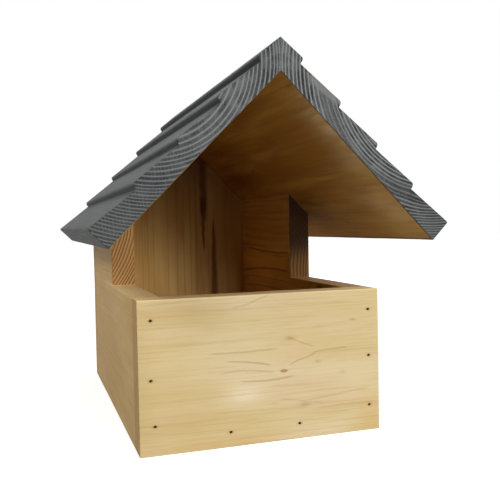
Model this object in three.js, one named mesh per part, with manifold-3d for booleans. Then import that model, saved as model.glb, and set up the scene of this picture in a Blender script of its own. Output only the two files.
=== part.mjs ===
// Open-fronted bird nest box: a nailed pine tray whose side walls step up behind the front panel,
// under a two-board roof milled with shingle courses. Millimetres.
// X runs left to right seen from the front, Y from front to back, Z up.
// The origin is the centre of the box's footprint, on the surface that it stands on.

import * as THREE from 'three';
import { mergeVertices } from 'three/addons/utils/BufferGeometryUtils.js';
import Module from 'manifold-3d';

const wasm = await Module();
wasm.setup();

// The box
const box_width = 170;
const box_depth = 270;
const side_thickness = 18;
const front_thickness = 18;
const back_thickness = 18;
const floor_thickness = 18;
const front_height = 100;
// How far behind the front face the side walls rise to the roof
const opening_depth = 121;
// Height of the roof's underside at the ridge
const ridge_height = 239;
// Joint left between neighbouring boards
const board_gap = 0.3;

// The roof boards, measured along and square to their undersides
const roof_pitch_degrees = 45;
const roof_slope = 149;
const front_overhang = 38;
const nose_thickness = 16.5;
const step_height = 4;
const top_course = 5;
const riser_lean = 0.9;
const nose_radius = 2.2;
const eave_radius = 1;
const step_count = 4;

// Brads, with their heads set just below the wood
const brad_length = 30;
const brad_radius = 0.6;
const brad_head_radius = 0.85;
const brad_head_height = 1;
const brad_point = 2;
const brad_recess = 0.5;
const brad_clearance = 0.1;
const brad_sides = 8;

// Brads down through the roof, and how far from an edge they enter
const wall_top_inset = 3;
const riser_clear = 3;
const ridge_inset = 6;

// Steel hanger on the back, with a keyhole over a pocket for the wall screw's head
// How far its middle lies below the ridge's underside
const hanger_drop = 61;
const hanger_width = 60;
const hanger_plate_height = 26;
const hanger_thickness = 1.5;
const hanger_corner = 5;
const keyhole_radius = 5;
const keyhole_slot = 5;
const keyhole_rise = 9;
const pocket_margin = 2;
const pocket_depth = 6;

// Countersunk screws that hold the hanger
const screw_spacing = 44;
const screw_length = 16;
const screw_radius = 1.75;
const screw_head_radius = 3.5;
const screw_head_height = 1.9;
const screw_point = 3;
const screw_clearance = 0.3;
const screw_recess = 0.2;
const screw_sides = 16;
const drive_width = 0.8;
const drive_span = 3.6;
const drive_depth = 1;

// One overrun for every cut
const overrun = 10;
const curve_steps = 4;
const keyhole_steps = 12;

// Brads through the front panel into each side wall: across the wall from outside, up the panel
const front_left_shares = [[0.56, 0.19], [0.445, 0.485], [0.48, 0.867]];
const front_right_shares = [[0.43, 0.18], [0.44, 0.53], [0.445, 0.855]];
// Brads through the front panel into the floor: from the middle to the wall, up the floor
const front_floor_shares = [[-0.37, 0.55], [0.36, 0.58]];
// The same on the back panel, up the walls' outer height
const back_side_shares = [[0.5, 0.12], [0.5, 0.47], [0.5, 0.82]];
const back_floor_shares = [[-0.4, 0.5], [0.4, 0.5]];
// Brads through each side wall into the floor, along the box from its front face
const side_floor_shares = [0.215, 0.533, 0.793];
// Brads through the roof into each side wall's top, along the tall part of the wall
const roof_wall_shares = [0.2, 0.8];
// Steps of the roof whose foot has a brad into the back panel, counted from the ridge
const roof_back_steps = [1, 2];
// Brads through the left roof board into the right one, along the roof
const ridge_shares = [0.08, 0.5, 0.92];

const half_width = box_width / 2;
const front_face = -box_depth / 2;
const back_face = box_depth / 2;
const inner_half = half_width - side_thickness;
const wall_front = front_face + front_thickness + board_gap;
const wall_back = back_face - back_thickness - board_gap;
const tall_front = front_face + opening_depth;
const roof_front = front_face - front_overhang;
const pitch = THREE.MathUtils.degToRad(roof_pitch_degrees);
const course = (roof_slope - top_course) / step_count;
const course_rise = step_height / (course - riser_lean);

const materials = {
  pine_front: { color: 0xd6ba82, roughness: 0.72, metalness: 0 },
  pine_side: { color: 0xc4a56e, roughness: 0.75, metalness: 0 },
  pine_back: { color: 0xb98a4b, roughness: 0.75, metalness: 0 },
  pine_floor: { color: 0xc9a873, roughness: 0.78, metalness: 0 },
  stained_roof: { color: 0x6d7072, roughness: 0.82, metalness: 0 },
  brad_steel: { color: 0x4a4038, roughness: 0.5, metalness: 0.9 },
  hanger_zinc: { color: 0xb7babd, roughness: 0.38, metalness: 1 },
  screw_zinc: { color: 0xa9abad, roughness: 0.35, metalness: 1 },
};

// A closed geometry as a solid that can be cut: shared corners merged, flat triangles left out
function toSolid(geometry) {
  const bare = geometry.clone();
  bare.deleteAttribute('normal');
  bare.deleteAttribute('uv');
  const merged = mergeVertices(bare);
  const corners = merged.index.array;
  const kept = [];
  for (let i = 0; i < corners.length; i += 3) {
    const [a, b, c] = [corners[i], corners[i + 1], corners[i + 2]];
    if (a !== b && b !== c && c !== a) kept.push(a, b, c);
  }
  return new wasm.Manifold(new wasm.Mesh({
    numProp: 3,
    vertProperties: new Float32Array(merged.attributes.position.array),
    triVerts: new Uint32Array(kept),
  }));
}

function toGeometry(solid) {
  const mesh = solid.getMesh();
  const geometry = new THREE.BufferGeometry();
  geometry.setAttribute('position', new THREE.BufferAttribute(mesh.vertProperties, 3));
  geometry.setIndex(new THREE.BufferAttribute(mesh.triVerts, 1));
  geometry.computeVertexNormals();
  return geometry;
}

function cutAll(solid, cutters) {
  return cutters.reduce((left, cutter) => left.subtract(cutter), solid);
}

// An outline of [x, y, radius] corners, each rounded by its radius
function outline(corners) {
  const shape = new THREE.Shape();
  const count = corners.length;
  corners.forEach(([x, y, radius], i) => {
    const [px, py] = corners[(i + count - 1) % count];
    const [nx, ny] = corners[(i + 1) % count];
    const corner = new THREE.Vector2(x, y);
    const before = new THREE.Vector2(px, py).sub(corner).normalize();
    const after = new THREE.Vector2(nx, ny).sub(corner).normalize();
    const reach = radius / Math.tan(Math.acos(before.dot(after)) / 2);
    const start = corner.clone().addScaledVector(before, reach);
    const end = corner.clone().addScaledVector(after, reach);
    if (i === 0) shape.moveTo(start.x, start.y);
    else shape.lineTo(start.x, start.y);
    if (radius > 0) shape.quadraticCurveTo(x, y, end.x, end.y);
  });
  shape.closePath();
  return shape;
}

// A shape drawn in X and Z, carried from one Y to another
function alongY(shape, from, to, steps = curve_steps) {
  const geometry = new THREE.ExtrudeGeometry(shape, {
    depth: to - from, bevelEnabled: false, curveSegments: steps,
  });
  return geometry.rotateX(Math.PI / 2).translate(0, to, 0);
}

// A shape drawn in Y and Z, carried from one X to another
function alongX(shape, from, to) {
  const geometry = new THREE.ExtrudeGeometry(shape, { depth: to - from, bevelEnabled: false });
  const turn = new THREE.Matrix4().makeBasis(
    new THREE.Vector3(0, 1, 0), new THREE.Vector3(0, 0, 1), new THREE.Vector3(1, 0, 0));
  return geometry.applyMatrix4(turn).translate(from, 0, 0);
}

function box(x0, x1, y0, y1, z0, z1) {
  const geometry = new THREE.BoxGeometry(x1 - x0, y1 - y0, z1 - z0);
  return geometry.translate((x0 + x1) / 2, (y0 + y1) / 2, (z0 + z1) / 2);
}

// Turning and placing a fastener: its +Y points out of the wood, its origin is the middle of its head
function placed(geometry, place) {
  const turn = new THREE.Quaternion().setFromUnitVectors(new THREE.Vector3(0, 1, 0), place.out);
  return geometry.clone().applyQuaternion(turn).translate(place.at.x, place.at.y, place.at.z);
}

// A fastener's outline from its point up to its head, made wider by a clearance for its hole
function fastenerProfile(size, clearance, above) {
  return [
    new THREE.Vector2(0, -size.length - clearance),
    new THREE.Vector2(size.radius + clearance, size.point - size.length - clearance),
    new THREE.Vector2(size.radius + clearance, -size.head_height - size.taper - clearance),
    new THREE.Vector2(size.head_radius + clearance, -size.head_height + size.rim - clearance),
    new THREE.Vector2(size.head_radius + clearance, above),
    new THREE.Vector2(0, above),
  ];
}

const brad_size = {
  length: brad_length,
  radius: brad_radius,
  head_radius: brad_head_radius,
  head_height: brad_head_height,
  point: brad_point,
  taper: brad_head_radius - brad_radius,
  rim: 0,
};

const screw_size = {
  length: screw_length,
  radius: screw_radius,
  head_radius: screw_head_radius,
  head_height: screw_head_height,
  point: screw_point,
  taper: 0,
  rim: screw_head_height - screw_recess,
};

const brad_body = new THREE.LatheGeometry(fastenerProfile(brad_size, 0, 0), brad_sides);
const brad_hole = new THREE.LatheGeometry(fastenerProfile(brad_size, brad_clearance, overrun), brad_sides);
const screw_blank = new THREE.LatheGeometry(fastenerProfile(screw_size, 0, 0), screw_sides);
const screw_hole = new THREE.LatheGeometry(fastenerProfile(screw_size, screw_clearance, overrun), screw_sides);

// The roof's underside at a distance from the middle, less the joint to what carries the roof
function underRoof(x) {
  return ridge_height - Math.abs(x) * Math.tan(pitch);
}
const seat_drop = board_gap / Math.cos(pitch);

// A point of the right roof board: along its underside from the ridge, and square out from it
function roofPoint(along, out) {
  return [
    along * Math.cos(pitch) + out * Math.sin(pitch),
    ridge_height - along * Math.sin(pitch) + out * Math.cos(pitch),
  ];
}

// Where the top course's face lies a distance from the middle: how far along the board's underside
function topCourseAlong(x) {
  const base = nose_thickness - course_rise * top_course;
  return (x - base * Math.sin(pitch)) / (Math.cos(pitch) + course_rise * Math.sin(pitch));
}

// The roof board's thickness at a distance along its underside
function roofThickness(along) {
  const noses = Array.from({ length: step_count + 1 }, (_, i) => top_course + i * course);
  const next = noses.find((nose) => nose >= along) ?? roof_slope;
  return nose_thickness - course_rise * (next - along);
}

// Where each brad's head lies and which way it points out of the wood
function bradPlaces() {
  const places = {};
  const add = (name, x, y, z, out) => {
    const at = new THREE.Vector3(x, y, z).addScaledVector(out, -brad_recess);
    places[name] = { at, out };
  };
  const forward = new THREE.Vector3(0, -1, 0);
  const backward = new THREE.Vector3(0, 1, 0);
  const wall_top = underRoof(half_width);
  for (const [side, sign, front_shares] of [['left', -1, front_left_shares], ['right', 1, front_right_shares]]) {
    const outward = new THREE.Vector3(sign, 0, 0);
    const across = (share) => sign * (half_width - share * side_thickness);
    front_shares.forEach(([share, up], i) => {
      add(`front_brad_${side}_${i + 1}`, across(share), front_face, up * front_height, forward);
    });
    back_side_shares.forEach(([share, up], i) => {
      add(`back_brad_${side}_${i + 1}`, across(share), back_face, up * wall_top, backward);
    });
    side_floor_shares.forEach((share, i) => {
      add(`side_brad_${side}_${i + 1}`, sign * half_width, front_face + share * box_depth,
        floor_thickness / 2, outward);
    });
    const roof_out = new THREE.Vector3(sign * Math.sin(pitch), 0, Math.cos(pitch));
    const addOnRoof = (name, along, y) => {
      const [x, z] = roofPoint(along, roofThickness(along));
      add(name, sign * x, y, z, roof_out);
    };
    const wall_along = (half_width - wall_top_inset) / Math.cos(pitch);
    roof_wall_shares.forEach((share, i) => {
      addOnRoof(`roof_brad_${side}_${i + 1}`, wall_along, tall_front + share * (wall_back - tall_front));
    });
    roof_back_steps.forEach((step, i) => {
      addOnRoof(`gable_brad_${side}_${i + 1}`, top_course + step * course + riser_clear,
        back_face - back_thickness / 2);
    });
  }
  front_floor_shares.forEach(([share, up], i) => {
    add(`front_brad_floor_${i + 1}`, share * inner_half, front_face, up * floor_thickness, forward);
  });
  back_floor_shares.forEach(([share, up], i) => {
    add(`back_brad_floor_${i + 1}`, share * inner_half, back_face, up * floor_thickness, backward);
  });
  const ridge_along = topCourseAlong(ridge_inset);
  const [ridge_x, ridge_z] = roofPoint(ridge_along, roofThickness(ridge_along));
  const left_out = new THREE.Vector3(-Math.sin(pitch), 0, Math.cos(pitch));
  ridge_shares.forEach((share, i) => {
    add(`ridge_brad_${i + 1}`, -ridge_x, roof_front + share * (back_face - roof_front), ridge_z, left_out);
  });
  return places;
}

const brads = bradPlaces();

function bradHoles(...starts) {
  return Object.entries(brads)
    .filter(([name]) => starts.some((start) => name.startsWith(start)))
    .map(([, place]) => toSolid(placed(brad_hole, place)));
}

function makeFrontPanel() {
  const board = box(-half_width, half_width, front_face, front_face + front_thickness, 0, front_height);
  return toGeometry(cutAll(toSolid(board), bradHoles('front_brad')));
}

function makeFloor() {
  const edge = inner_half - board_gap;
  const board = box(-edge, edge, wall_front, wall_back, 0, floor_thickness);
  const holes = bradHoles('front_brad_floor', 'back_brad_floor', 'side_brad');
  return toGeometry(cutAll(toSolid(board), holes));
}

// The wall is low behind the front panel and tall under the roof, with its top cut to the roof's slope
function makeSideWall(side, sign) {
  const profile = outline([
    [wall_front, 0, 0],
    [wall_back, 0, 0],
    [wall_back, ridge_height, 0],
    [tall_front, ridge_height, 0],
    [tall_front, front_height, 0],
    [wall_front, front_height, 0],
  ]);
  const [near, far] = [sign * inner_half, sign * half_width];
  const blank = toSolid(alongX(profile, Math.min(near, far), Math.max(near, far)));
  const inner_x = sign * (inner_half - overrun);
  const outer_x = sign * (half_width + overrun);
  const above = outline([
    [inner_x, underRoof(inner_x) - seat_drop, 0],
    [outer_x, underRoof(outer_x) - seat_drop, 0],
    [outer_x, ridge_height + overrun, 0],
    [inner_x, ridge_height + overrun, 0],
  ]);
  const roof_cut = toSolid(alongY(above, wall_front - overrun, wall_back + overrun));
  const holes = bradHoles(`front_brad_${side}`, `back_brad_${side}`, `side_brad_${side}`, `roof_brad_${side}`);
  return toGeometry(cutAll(blank, [roof_cut, ...holes]));
}

const hanger_front = back_face;
const hanger_centre_height = ridge_height - hanger_drop;
const hanger_back = back_face + hanger_thickness;
const keyhole_height = hanger_centre_height - keyhole_rise / 2;

// The keyhole: a round hole for the wall screw's head with a slot for its shank above
function keyhole() {
  const slot = keyhole_slot / 2;
  const meet = Math.acos(slot / keyhole_radius);
  const path = new THREE.Path();
  path.absarc(0, keyhole_height + keyhole_rise, slot, 0, Math.PI, false);
  path.absarc(0, keyhole_height, keyhole_radius, Math.PI - meet, 2 * Math.PI + meet, false);
  path.closePath();
  return path;
}

// The pocket behind the keyhole is a round-ended slot wide enough for the wall screw's head
function pocketShape() {
  const radius = keyhole_radius + pocket_margin;
  const shape = new THREE.Shape();
  shape.absarc(0, keyhole_height + keyhole_rise, radius, 0, Math.PI, false);
  shape.absarc(0, keyhole_height, radius, Math.PI, 2 * Math.PI, false);
  shape.closePath();
  return shape;
}

function screwPlace(sign) {
  const out = new THREE.Vector3(0, 1, 0);
  const at = new THREE.Vector3(sign * screw_spacing / 2, hanger_back, hanger_centre_height);
  return { at, out };
}

function makeBackPanel() {
  const shoulder = underRoof(half_width) - seat_drop;
  const profile = outline([
    [-half_width, 0, 0],
    [half_width, 0, 0],
    [half_width, shoulder, 0],
    [0, ridge_height - seat_drop, 0],
    [-half_width, shoulder, 0],
  ]);
  const blank = toSolid(alongY(profile, back_face - back_thickness, back_face));
  const pocket = toSolid(alongY(pocketShape(), back_face - pocket_depth, back_face + overrun, keyhole_steps));
  const screw_holes = [-1, 1].map((sign) => toSolid(placed(screw_hole, screwPlace(sign))));
  return toGeometry(cutAll(blank, [pocket, ...screw_holes, ...bradHoles('back_brad', 'gable_brad')]));
}

function makeHanger() {
  const [half, rise] = [hanger_width / 2, hanger_plate_height / 2];
  const plate = outline([
    [-half, hanger_centre_height - rise, hanger_corner],
    [half, hanger_centre_height - rise, hanger_corner],
    [half, hanger_centre_height + rise, hanger_corner],
    [-half, hanger_centre_height + rise, hanger_corner],
  ]);
  plate.holes.push(keyhole());
  const blank = toSolid(alongY(plate, hanger_front, hanger_back, keyhole_steps));
  return toGeometry(cutAll(blank, [-1, 1].map((sign) => toSolid(placed(screw_hole, screwPlace(sign))))));
}

// The right roof board: a square underside, a mitre at the ridge and five courses with rounded noses
function makeRoofBoard(side, sign) {
  const mitre_x = board_gap / 2;
  const foot = nose_thickness - step_height;
  const profile = [[mitre_x / Math.cos(pitch), 0, 0], [roof_slope, 0, eave_radius]];
  profile.push([roof_slope, nose_thickness, eave_radius]);
  for (let i = step_count - 1; i >= 0; i -= 1) {
    const nose = top_course + i * course;
    profile.push([nose + riser_lean, foot, 0], [nose, nose_thickness, nose_radius]);
  }
  const ridge_along = topCourseAlong(mitre_x);
  profile.push([ridge_along, roofThickness(ridge_along), 0]);
  const corners = profile.map(([along, out, radius]) => {
    const [x, z] = roofPoint(along, out);
    return [sign * x, z, radius];
  });
  const blank = toSolid(alongY(outline(corners), roof_front, back_face));
  const holes = bradHoles(`roof_brad_${side}`, `gable_brad_${side}`, 'ridge_brad');
  return toGeometry(cutAll(blank, holes));
}

function makeScrew(sign) {
  const arm = { across: drive_span / 2, half: drive_width / 2 };
  const { at } = screwPlace(sign);
  const level = [at.y - drive_depth, at.y + overrun];
  const bars = [
    box(at.x - arm.across, at.x + arm.across, ...level, at.z - arm.half, at.z + arm.half),
    box(at.x - arm.half, at.x + arm.half, ...level, at.z - arm.across, at.z + arm.across),
  ];
  return toGeometry(cutAll(toSolid(placed(screw_blank, screwPlace(sign))), bars.map(toSolid)));
}

const nest_box = new THREE.Group();

function addPiece(name, geometry, finish) {
  const piece = new THREE.Mesh(geometry, new THREE.MeshStandardMaterial(materials[finish]));
  piece.name = name;
  nest_box.add(piece);
  return piece;
}

addPiece('floor', makeFloor(), 'pine_floor');
addPiece('front_panel', makeFrontPanel(), 'pine_front');
addPiece('back_panel', makeBackPanel(), 'pine_back');
for (const [side, sign] of [['left', -1], ['right', 1]]) {
  addPiece(`${side}_side_wall`, makeSideWall(side, sign), 'pine_side');
  addPiece(`roof_board_${side}`, makeRoofBoard(side, sign), 'stained_roof');
  addPiece(`hanger_screw_${side}`, makeScrew(sign), 'screw_zinc');
}
addPiece('hanger_plate', makeHanger(), 'hanger_zinc');
for (const [name, place] of Object.entries(brads)) {
  const brad = addPiece(name, brad_body, 'brad_steel');
  brad.position.copy(place.at);
  brad.quaternion.setFromUnitVectors(new THREE.Vector3(0, 1, 0), place.out);
}

export default nest_box;
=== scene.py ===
"""Looks of an open-fronted bird nest box: nailed pine boards under a roof milled with shingle courses.

Metres, in the frame of the CAD model: X to the right seen from the front, Y from front to back, Z up.
Patterns in the materials are worked out in millimetres.
"""
import math

import bpy
import numpy as np
from mathutils import Matrix, Vector


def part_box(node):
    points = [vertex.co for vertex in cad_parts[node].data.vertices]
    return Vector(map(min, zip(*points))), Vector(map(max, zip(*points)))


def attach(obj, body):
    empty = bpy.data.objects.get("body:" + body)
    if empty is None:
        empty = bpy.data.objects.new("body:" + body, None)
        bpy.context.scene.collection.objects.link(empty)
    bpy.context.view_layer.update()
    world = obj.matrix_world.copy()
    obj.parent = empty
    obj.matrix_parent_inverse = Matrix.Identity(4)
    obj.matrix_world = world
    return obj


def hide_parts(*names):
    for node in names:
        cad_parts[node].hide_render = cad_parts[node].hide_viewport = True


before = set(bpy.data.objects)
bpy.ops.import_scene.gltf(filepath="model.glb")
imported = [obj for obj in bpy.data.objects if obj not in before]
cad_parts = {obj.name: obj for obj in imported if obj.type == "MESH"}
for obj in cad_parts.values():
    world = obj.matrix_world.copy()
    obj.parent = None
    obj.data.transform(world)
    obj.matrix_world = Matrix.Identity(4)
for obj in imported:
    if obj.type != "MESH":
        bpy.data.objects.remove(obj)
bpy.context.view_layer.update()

MM = 0.001

# Sizes read from the frame

floor_low, floor_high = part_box("floor")
panel_low, panel_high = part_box("front_panel")
back_low, back_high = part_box("back_panel")
roof_low, roof_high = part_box("roof_board_right")
plate_low, plate_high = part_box("hanger_plate")

half_width = panel_high.x
inner_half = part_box("right_side_wall")[0].x
front_height = panel_high.z
roof_front = roof_low.y

# Sizes that the frame's boxes don't give

pitch = math.radians(45)
ridge_height = 239 * MM
opening_depth = 121 * MM
roof_slope = 149 * MM
nose_thickness = 16.5 * MM
step_height = 4 * MM
top_course = 5 * MM
riser_lean = 0.9 * MM
nose_radius = 2.2 * MM
foot_radius = 0.4 * MM
eave_radius = 1.2 * MM
eave_under_radius = 0.5 * MM
step_count = 4
tight_joint = 0.01 * MM
mitre_ease = 0.04 * MM
wall_joint = 0.1 * MM

brad_length = 30 * MM
brad_radius = 0.6 * MM
brad_head_radius = 0.85 * MM
brad_head_height = 1 * MM
brad_point = 2 * MM
brad_sides = 16
brad_recess = 0.5 * MM
brad_clearance = 0.1 * MM
crushed_depth = 0.1 * MM

screw_length = 16 * MM
screw_radius = 1.75 * MM
screw_head_radius = 3.5 * MM
screw_head_height = 1.9 * MM
screw_point = 3 * MM
screw_sides = 32
screw_spacing = 44 * MM
screw_clearance = 0.15 * MM
drive_span = 3.6 * MM
drive_width = 0.9 * MM
drive_depth = 1.1 * MM
drive_narrowing = 0.55
drive_overrun = 0.6 * MM

keyhole_radius = 5 * MM
keyhole_slot = 5 * MM
keyhole_rise = 9 * MM
pocket_margin = 2 * MM
pocket_depth = 6 * MM
pocket_taper = 0.01 * MM
hanger_corner = 5 * MM

# How edges are eased, how far they stray, from which angle they look sharp, and how far cutters overrun

edge_ease = 0.7 * MM
step_ease = 0.6 * edge_ease
roof_ease = 0.45 * MM
plate_ease = 0.3 * MM
board_sway = 0.03 * MM
roof_sway = 0.05 * MM
overrun = 2 * MM
sharp_angle = math.radians(40)

course = (roof_slope - top_course) / step_count
course_rise = step_height / (course - riser_lean)
slope_along = np.array([math.cos(pitch), -math.sin(pitch)])
slope_out = np.array([math.sin(pitch), math.cos(pitch)])

RIGHT, BACK, UP = Vector((1, 0, 0)), Vector((0, 1, 0)), Vector((0, 0, 1))
lay_x, lay_y = [2, 0, 1], [0, 2, 1]


# Shapes

def filleted(corners, steps=5):
    """A closed outline from corners (x, z, radius), as points, outward normals and radii.

    Each corner becomes an arc tangent to both its sides: its centre lies on the bisector, radius / sin(half
    angle) away, and it sweeps from one tangent point to the other. A hollow corner's normal points to its
    centre, the others' away from it."""
    table = np.array(corners, float)
    x, z = table[:, 0], table[:, 1]
    if (x * np.roll(z, -1) - np.roll(x, -1) * z).sum() < 0:
        table = table[::-1]
    points, radius = table[:, :2], table[:, 2]
    before = np.roll(points, 1, 0) - points
    after = np.roll(points, -1, 0) - points
    before /= np.linalg.norm(before, axis=1, keepdims=True)
    after /= np.linalg.norm(after, axis=1, keepdims=True)
    half = np.arccos(np.clip((before * after).sum(1), -1, 1)) / 2
    middle = before + after
    middle /= np.linalg.norm(middle, axis=1, keepdims=True)
    centre = points + middle * (radius / np.sin(half))[:, None]
    start = points + before * (radius / np.tan(half))[:, None] - centre
    end = points + after * (radius / np.tan(half))[:, None] - centre
    turn = np.arctan2(start[:, 0] * end[:, 1] - start[:, 1] * end[:, 0], (start * end).sum(1))
    share = np.linspace(0, 1, steps + 1)
    angle = np.arctan2(start[:, 1], start[:, 0])[:, None] + turn[:, None] * share
    ray = np.stack([np.cos(angle), np.sin(angle)], -1)
    arcs = centre[:, None] + radius[:, None, None] * ray
    normals = ray * np.sign(turn)[:, None, None]
    radii = np.repeat(radius, steps + 1)
    return arcs.reshape(-1, 2), normals.reshape(-1, 2), radii


def carried(outline, start, end, ease, stations, sway=0.0):
    """A board: an outline carried straight from start to end, with rounded arrises at both ends.

    Near an end, at a distance a from it, the outline is drawn in by ease - sqrt(ease² - (ease - a)²), a
    quarter circle. Every point also moves in by sway times 1.6 plus a sum of two sines of the distance, so
    that no arris is dead straight, but by no more than 0.9 of its corner's radius. Returns a grid of outline
    points, one row for each station, and the stations' distances."""
    points, normals, radii = outline
    turn = np.linspace(0, math.pi / 2, 5)
    near = start + ease * (1 - np.cos(turn))
    inset_near = ease * (1 - np.sin(turn))
    far = end - (near - start)[::-1]
    between = np.linspace(near[-1], far[0], stations + 2)[1:-1]
    along = np.concatenate([near, between, far])
    inset = np.concatenate([inset_near, np.zeros(stations), inset_near[::-1]])
    phase = (points @ np.array([37.0, 53.0])) * 10
    wave = np.sin(along[:, None] * 61 + phase) + 0.6 * np.sin(along[:, None] * 143 + 1.7 * phase)
    moved = inset[:, None] * np.minimum(1, 0.9 * radii / ease) + sway * (1.6 + wave)
    moved = np.minimum(moved, 0.9 * radii)
    grid = points[None] - normals[None] * moved[..., None]
    return grid, along


def ring_quads(rings, count):
    """Quads between neighbouring rings of count points each, with the points listed ring after ring."""
    ring, point = np.meshgrid(np.arange(rings - 1), np.arange(count), indexing="ij")
    following = (point + 1) % count
    return np.stack([ring * count + point, ring * count + following,
                     (ring + 1) * count + following, (ring + 1) * count + point], -1).reshape(-1, 4).tolist()


def skin(grid, along, lay):
    """Vertices and faces of a carried outline: quads between its rings and a flat face on each end.

    Lay says which of (across, up, distance) gives x, y and z."""
    rings, count = grid.shape[:2]
    flat = np.concatenate([grid, np.broadcast_to(along[:, None, None], (rings, count, 1))], -1)
    caps = [np.arange(count)[::-1].tolist(), (np.arange(count) + (rings - 1) * count).tolist()]
    return flat.reshape(-1, 3)[:, lay], ring_quads(rings, count) + caps


def outward_faces(vertices, faces):
    """The faces, all turned round if the signed volume that they close is negative."""
    triangles = np.array([(face[0], face[i], face[i + 1]) for face in faces for i in range(1, len(face) - 1)])
    a, b, c = (np.asarray(vertices)[triangles[:, i]] for i in range(3))
    volume = (a * np.cross(b, c)).sum()
    return faces if volume > 0 else [face[::-1] for face in faces]


def joined(parts):
    """Several closed solids, given as (vertices, faces), as one."""
    vertices, faces, shift = [], [], 0
    for points, polygons in parts:
        vertices.append(np.asarray(points))
        faces += [[corner + shift for corner in polygon] for polygon in outward_faces(points, polygons)]
        shift += len(points)
    return np.concatenate(vertices), faces


def linked(name, data):
    """A new object in the scene, at the origin, with a mesh, a lamp or a camera in it."""
    made = bpy.data.objects.new(name, data)
    bpy.context.scene.collection.objects.link(made)
    return made


def new_mesh(name, vertices, faces):
    mesh = bpy.data.meshes.new(name)
    mesh.from_pydata(vertices.tolist(), [], faces)
    return linked(name, mesh)


def new_piece(name, *solids):
    """A mesh object made of one closed solid or several."""
    return new_mesh(name, *joined(solids))


def board(name, corners, start, end, lay, ease=edge_ease, steps=5, stations=24, sway=board_sway):
    """A new board, carried from start to end from an outline of corners (x, z, radius)."""
    grid, along = carried(filleted(corners, steps), start, end, ease, stations, sway)
    return new_piece(name, skin(grid, along, lay))


def eased(points, radius=edge_ease):
    """Corners of an outline, all with the same radius."""
    return [(*point, radius) for point in points]


def lathe(profile, place, out, sides):
    """A turned solid: a profile of (radius, height) rows spun about the line through place along out.

    Each row that isn't on the axis gives a ring of sides points at radius times (cosine, sine)."""
    rows = np.array(profile, float)
    axis = np.array(out, float)
    side = np.cross(axis, [0.0, 0.0, 1.0] if abs(axis[2]) < 0.9 else [1.0, 0.0, 0.0])
    side /= np.linalg.norm(side)
    across = np.cross(axis, side)
    angle = np.arange(sides) * 2 * math.pi / sides
    ray = np.cos(angle)[:, None] * side + np.sin(angle)[:, None] * across
    rings = rows[1:-1]
    body = rings[:, 0, None, None] * ray + rings[:, 1, None, None] * axis
    ends = rows[[0, -1], 1, None] * axis
    vertices = np.concatenate([body.reshape(-1, 3), ends]) + np.array(place, float)
    first, last = len(rings) * sides, len(rings) * sides + 1
    near = np.arange(sides)
    nearer = (near + 1) % sides
    top = (len(rings) - 1) * sides
    low = np.stack([np.full(sides, first), nearer, near], -1)
    high = np.stack([top + near, top + nearer, np.full(sides, last)], -1)
    return vertices, ring_quads(len(rings), sides) + low.tolist() + high.tolist()


def carve(piece, cutters):
    """Cuts solids, each given as (vertices, faces) and clear of the others, out of a piece."""
    tool = new_piece(piece.name + "_cutter", *cutters)
    cut = piece.modifiers.new("cut", "BOOLEAN")
    cut.operation = "DIFFERENCE"
    cut.solver = "EXACT"
    cut.object = tool
    bpy.context.view_layer.update()
    graph = bpy.context.evaluated_depsgraph_get()
    mesh = bpy.data.meshes.new_from_object(piece.evaluated_get(graph))
    if not mesh.vertices:
        raise RuntimeError(f"cutting {piece.name} left nothing of it")
    piece.modifiers.clear()
    old = piece.data
    piece.data = mesh
    bpy.data.meshes.remove(old)
    bpy.data.objects.remove(tool)


def finished(piece, material, slot_name, *nodes):
    """Smooth shading weighted to the flat faces, the finish, and the nodes that the piece stands for."""
    piece.data.shade_smooth()
    piece.data.set_sharp_from_angle(angle=sharp_angle)
    weighted = piece.modifiers.new("even_faces", "WEIGHTED_NORMAL")
    weighted.keep_sharp = True
    weighted.weight = 80
    piece.data.materials.clear()
    piece.data.materials.append(material)
    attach(piece, "root")
    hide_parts(*nodes)


# Where the brads are, read from the frame

def brad_place(node):
    """The middle of a brad's head and the way it points out of the wood, from the node's own points.

    The way is its longest direction, turned to the end where most of the points are, which is the head."""
    places = np.array([vertex.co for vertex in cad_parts[node].data.vertices])
    way = np.linalg.svd(places - places.mean(0), full_matrices=False)[2][0]
    height = places @ way
    if height.mean() < (height.max() + height.min()) / 2:
        way, height = -way, -height
    return places[height > height.max() - brad_head_height / 2].mean(0), way


brads = {name: brad_place(name) for name in sorted(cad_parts) if "brad" in name}


def brad_profile(clearance, top):
    """A brad from its point up to its head, or with a clearance the hole that it lies in."""
    shank = brad_radius + clearance
    head = brad_head_radius + clearance
    return [
        (0, -brad_length - clearance),
        (shank * 0.35, -brad_length + brad_point * 0.3),
        (shank, brad_point - brad_length),
        (shank, -brad_head_height - (head - shank)),
        (head, -brad_head_height),
        *top,
    ]


def brad_holes(*starts):
    """Holes for the brads whose names begin so, each with a crushed lip that opens at the surface."""
    lip = brad_head_radius + brad_clearance
    top = [(lip, -crushed_depth), (lip * 1.05, brad_recess * 0.5), (lip * 1.35, brad_recess * 1.02),
           (lip * 1.5, brad_recess + overrun), (0, brad_recess + overrun)]
    profile = brad_profile(brad_clearance, top)
    return [lathe(profile, *brads[name], brad_sides) for name in brads if name.startswith(starts)]


# Wood patterns

ridge_share = ridge_height / MM * math.sin(pitch)
eave_across = roof_slope / MM - ridge_share


def linear(red, green, blue):
    """A colour from 0 to 255, as seen on a screen, to the linear values that the nodes use."""
    share = np.array([red, green, blue]) / 255
    value = np.where(share <= 0.04045, share / 12.92, ((share + 0.055) / 1.055) ** 2.4)
    return (*value.tolist(), 1.0)


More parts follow.
